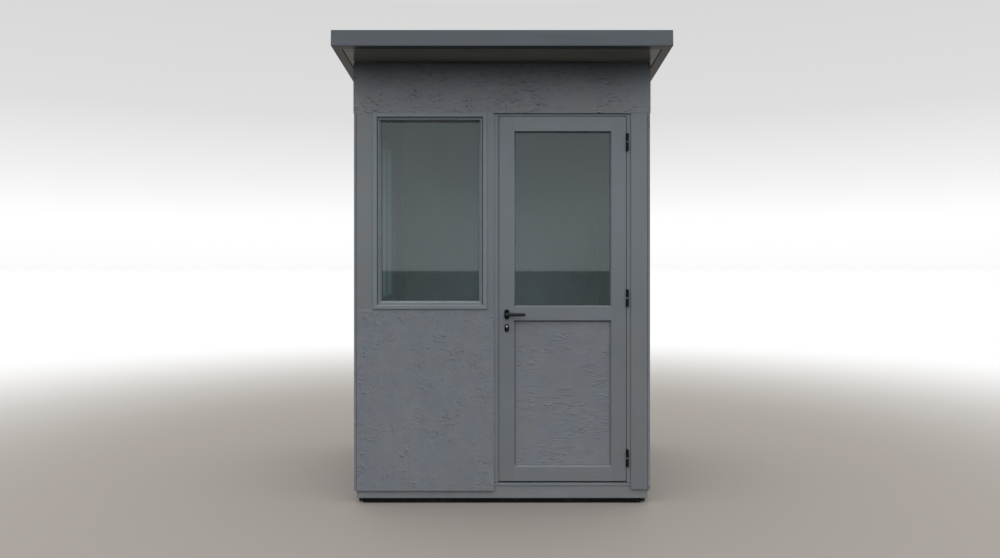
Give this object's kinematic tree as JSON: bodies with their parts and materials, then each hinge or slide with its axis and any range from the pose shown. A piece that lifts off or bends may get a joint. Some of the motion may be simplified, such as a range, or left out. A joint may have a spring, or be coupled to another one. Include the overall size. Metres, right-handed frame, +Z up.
{
  "type": "security guard booth",
  "caption": "Free-standing guard booth with grey strand-board walls, glazed side-hung door, fixed windows, mono-pitch roof with metal fascia, on a steel base with levelling feet.",
  "frame": {"origin": "on the ground under the middle of the roof's plan", "axes": "+Z up, front with the door faces -Y, +X to the right of someone facing the door"},
  "size_m": [1.786, 1.8304, 2.5503],
  "materials": {
    "wall_paint": "satin paint over pressed strand board",
    "post_paint": "smooth satin paint on planed timber",
    "frame_paint": "satin powder coat on aluminium",
    "fascia_paint": "satin coat on folded sheet",
    "roof_coat": "satin coat on ribbed sheet",
    "soffit_coat": "semi-gloss coat on the roof panel",
    "base_paint": "satin paint on steel",
    "foot_zinc": "zinc plated",
    "skirt_coat": "matt black coat on thin sheet",
    "floor_board": "sealed plywood",
    "ceiling_board": "painted strand board",
    "door_board": "satin paint over strand board",
    "pane": "clear float glass, slightly grey",
    "black_fittings": "matt black coat",
    "cylinder_steel": "satin nickel"
  },
  "bodies": {
    "booth": {"feet": "foot_zinc", "base_skirts": "skirt_coat", "base_rail_front": "base_paint", "base_rail_back": "base_paint", "base_rail_left": "base_paint", "base_rail_right": "base_paint", "floor_joists": "base_paint", "floor_panel": "floor_board", "corner_post_front_left": "post_paint", "corner_post_front_right": "post_paint", "corner_post_back_left": "post_paint", "corner_post_back_right": "post_paint", "front_lower_panel": "wall_paint", "mullion_post": "post_paint", "header_over_window": "wall_paint", "header_over_door": "wall_paint", "left_wall": "wall_paint", "right_wall": "wall_paint", "back_wall": "wall_paint", "ceiling_panel": "ceiling_board", "roof_panel": "soffit_coat", "roof_sheet": "roof_coat", "fascia_front": "fascia_paint", "fascia_back": "fascia_paint", "fascia_left": "fascia_paint", "fascia_right": "fascia_paint", "front_window_frame": "frame_paint", "left_window_frame": "frame_paint", "right_window_frame": "frame_paint", "front_window_bead": "frame_paint", "left_window_bead": "frame_paint", "right_window_bead": "frame_paint", "front_window_glass": "pane", "left_window_glass": "pane", "right_window_glass": "pane", "door_jamb_lock_side": "frame_paint", "door_jamb_hinge_side": "frame_paint", "door_head": "frame_paint", "door_threshold": "frame_paint", "hinge_frame_halves": "black_fittings", "strike_plate": "cylinder_steel"},
    "door": {"door_stile_lock_side": "frame_paint", "door_stile_hinge_side": "frame_paint", "door_rail_bottom": "frame_paint", "door_rail_middle": "frame_paint", "door_rail_top": "frame_paint", "door_glass": "pane", "door_glass_beads": "frame_paint", "door_panel": "door_board", "door_panel_beads": "frame_paint", "hinge_leaf_halves": "black_fittings", "handle_plates": "black_fittings", "lock_cylinder": "cylinder_steel", "lock_faceplate": "cylinder_steel"},
    "lever": {"door_lever": "black_fittings"}
  },
  "joints": [
    {"name": "door_swing", "type": "hinge", "parent": "booth", "child": "door", "pos_m": [0.695, -0.6605, 1.14], "axis": [0, 0, 1], "range_deg": [0, 170]},
    {"name": "lever_turn", "type": "hinge", "parent": "door", "child": "lever", "pos_m": [0.0265, -0.63, 1.049], "axis": [0, 1, 0], "range_deg": [0, 45], "stiffness_Nm_per_rad": 2, "springref_deg": -28.65}
  ]
}
